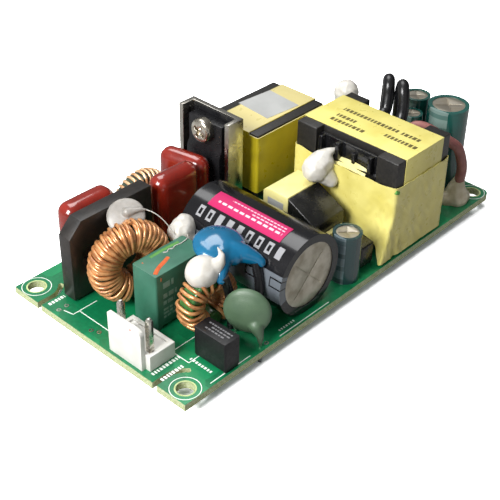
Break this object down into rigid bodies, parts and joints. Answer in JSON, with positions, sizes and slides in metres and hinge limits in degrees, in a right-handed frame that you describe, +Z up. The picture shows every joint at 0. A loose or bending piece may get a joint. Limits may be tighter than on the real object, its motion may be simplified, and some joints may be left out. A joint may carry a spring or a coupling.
{
  "type": "open frame power supply",
  "caption": "Bare open frame power supply: a long green circuit board with a pin header at each end and capacitors, wound chokes, transformers and a heat-sinked transistor between them.",
  "frame": {"origin": "under the board's centre, at the tips of the trimmed leads that the board rests on", "axes": "+X from the mains header's end to the output header's end along the board, +Y across the board away from the row of capacitors and the main transformer, +Z up from the board"},
  "size_m": [0.1016, 0.0508, 0.0329],
  "materials": {
    "board": "semi-gloss green solder mask",
    "nylon": "natural white nylon",
    "tin": "tin plated",
    "fuse_case": "dark grey moulded case",
    "thermistor_coat": "sage green coating",
    "film_case": "green moulded case",
    "green_core": "coated ferrite ring",
    "dark_core": "coated powder ring",
    "copper": "enamelled copper wire",
    "light_copper": "enamelled copper wire, paler",
    "rectifier_case": "dark moulded case",
    "red_coat": "glossy dipped coating",
    "sink_metal": "plain bright sheet",
    "black_case": "black moulded case",
    "screw_metal": "plated, bright",
    "ferrite": "ground ferrite",
    "bobbin": "glossy black moulded bobbin",
    "olive_tape": "olive yellow polyester tape",
    "yellow_tape": "yellow polyester tape",
    "pale_tape": "pale yellow polyester tape",
    "plain_label": "bare white label",
    "black_tape": "black tape over a core",
    "can_metal": "plain can end with a scored vent",
    "black_sleeve": "glossy black shrink sleeve",
    "magenta_print": "bare magenta printed field",
    "dark_teal_sleeve": "dark green shrink sleeve",
    "teal_sleeve": "blue green shrink sleeve",
    "drum_sleeve": "black shrink tube",
    "blue_coat": "glossy blue coating",
    "dark_blue_coat": "blue coating",
    "black_tube": "black silicone tube",
    "pink_tube": "dull pink tube",
    "glue": "white silicone glue",
    "beige_glue": "beige glue",
    "chip_case": "black chip packages",
    "chip_parts": "tan chip components",
    "solder": "solder"
  },
  "bodies": {
    "root": {"circuit_board": "board", "inlet_housing": "nylon", "inlet_pins": "tin", "outlet_housing": "nylon", "outlet_pins": "tin", "fuse": "fuse_case", "inrush_thermistor": "thermistor_coat", "x_capacitor": "film_case", "small_choke_core": "green_core", "small_choke_winding_a": "copper", "small_choke_winding_b": "copper", "main_choke_core": "dark_core", "main_choke_winding_a": "copper", "main_choke_winding_b": "copper", "bridge_rectifier": "rectifier_case", "bridge_leads": "tin", "film_capacitor_a": "red_coat", "film_capacitor_b": "red_coat", "film_capacitor_c": "red_coat", "rear_choke_core": "dark_core", "rear_choke_winding": "light_copper", "heat_sink": "sink_metal", "power_transistor": "black_case", "transistor_leads": "tin", "heat_sink_screw": "screw_metal", "boost_choke_core": "ferrite", "boost_choke_bobbin": "bobbin", "boost_choke_wrap": "olive_tape", "boost_choke_label": "plain_label", "transformer_core": "ferrite", "transformer_core_tape": "yellow_tape", "transformer_bobbin": "bobbin", "transformer_winding": "copper", "transformer_wrap": "yellow_tape", "aux_transformer_core": "black_tape", "aux_transformer_tape": "pale_tape", "aux_transformer_label": "plain_label", "bulk_capacitor_can": "can_metal", "bulk_capacitor_sleeve": "black_sleeve", "bulk_capacitor_label": "magenta_print", "small_electrolytic_can": "can_metal", "small_electrolytic_sleeve": "dark_teal_sleeve", "drum_choke": "drum_sleeve", "blue_capacitor": "blue_coat", "blue_capacitor_sleeves": "black_tube", "output_capacitor_cans": "can_metal", "output_capacitor_sleeves": "teal_sleeve", "output_disc_capacitor": "dark_blue_coat", "black_lead_a": "black_tube", "black_lead_b": "black_tube", "pink_lead": "pink_tube", "bridge_glue": "glue", "small_choke_glue": "glue", "x_capacitor_glue": "glue", "transformer_glue": "glue", "pink_lead_glue": "beige_glue", "output_glue": "glue", "underside_chips": "chip_case", "underside_parts": "chip_parts", "solder_joints": "solder"}
  },
  "joints": []
}
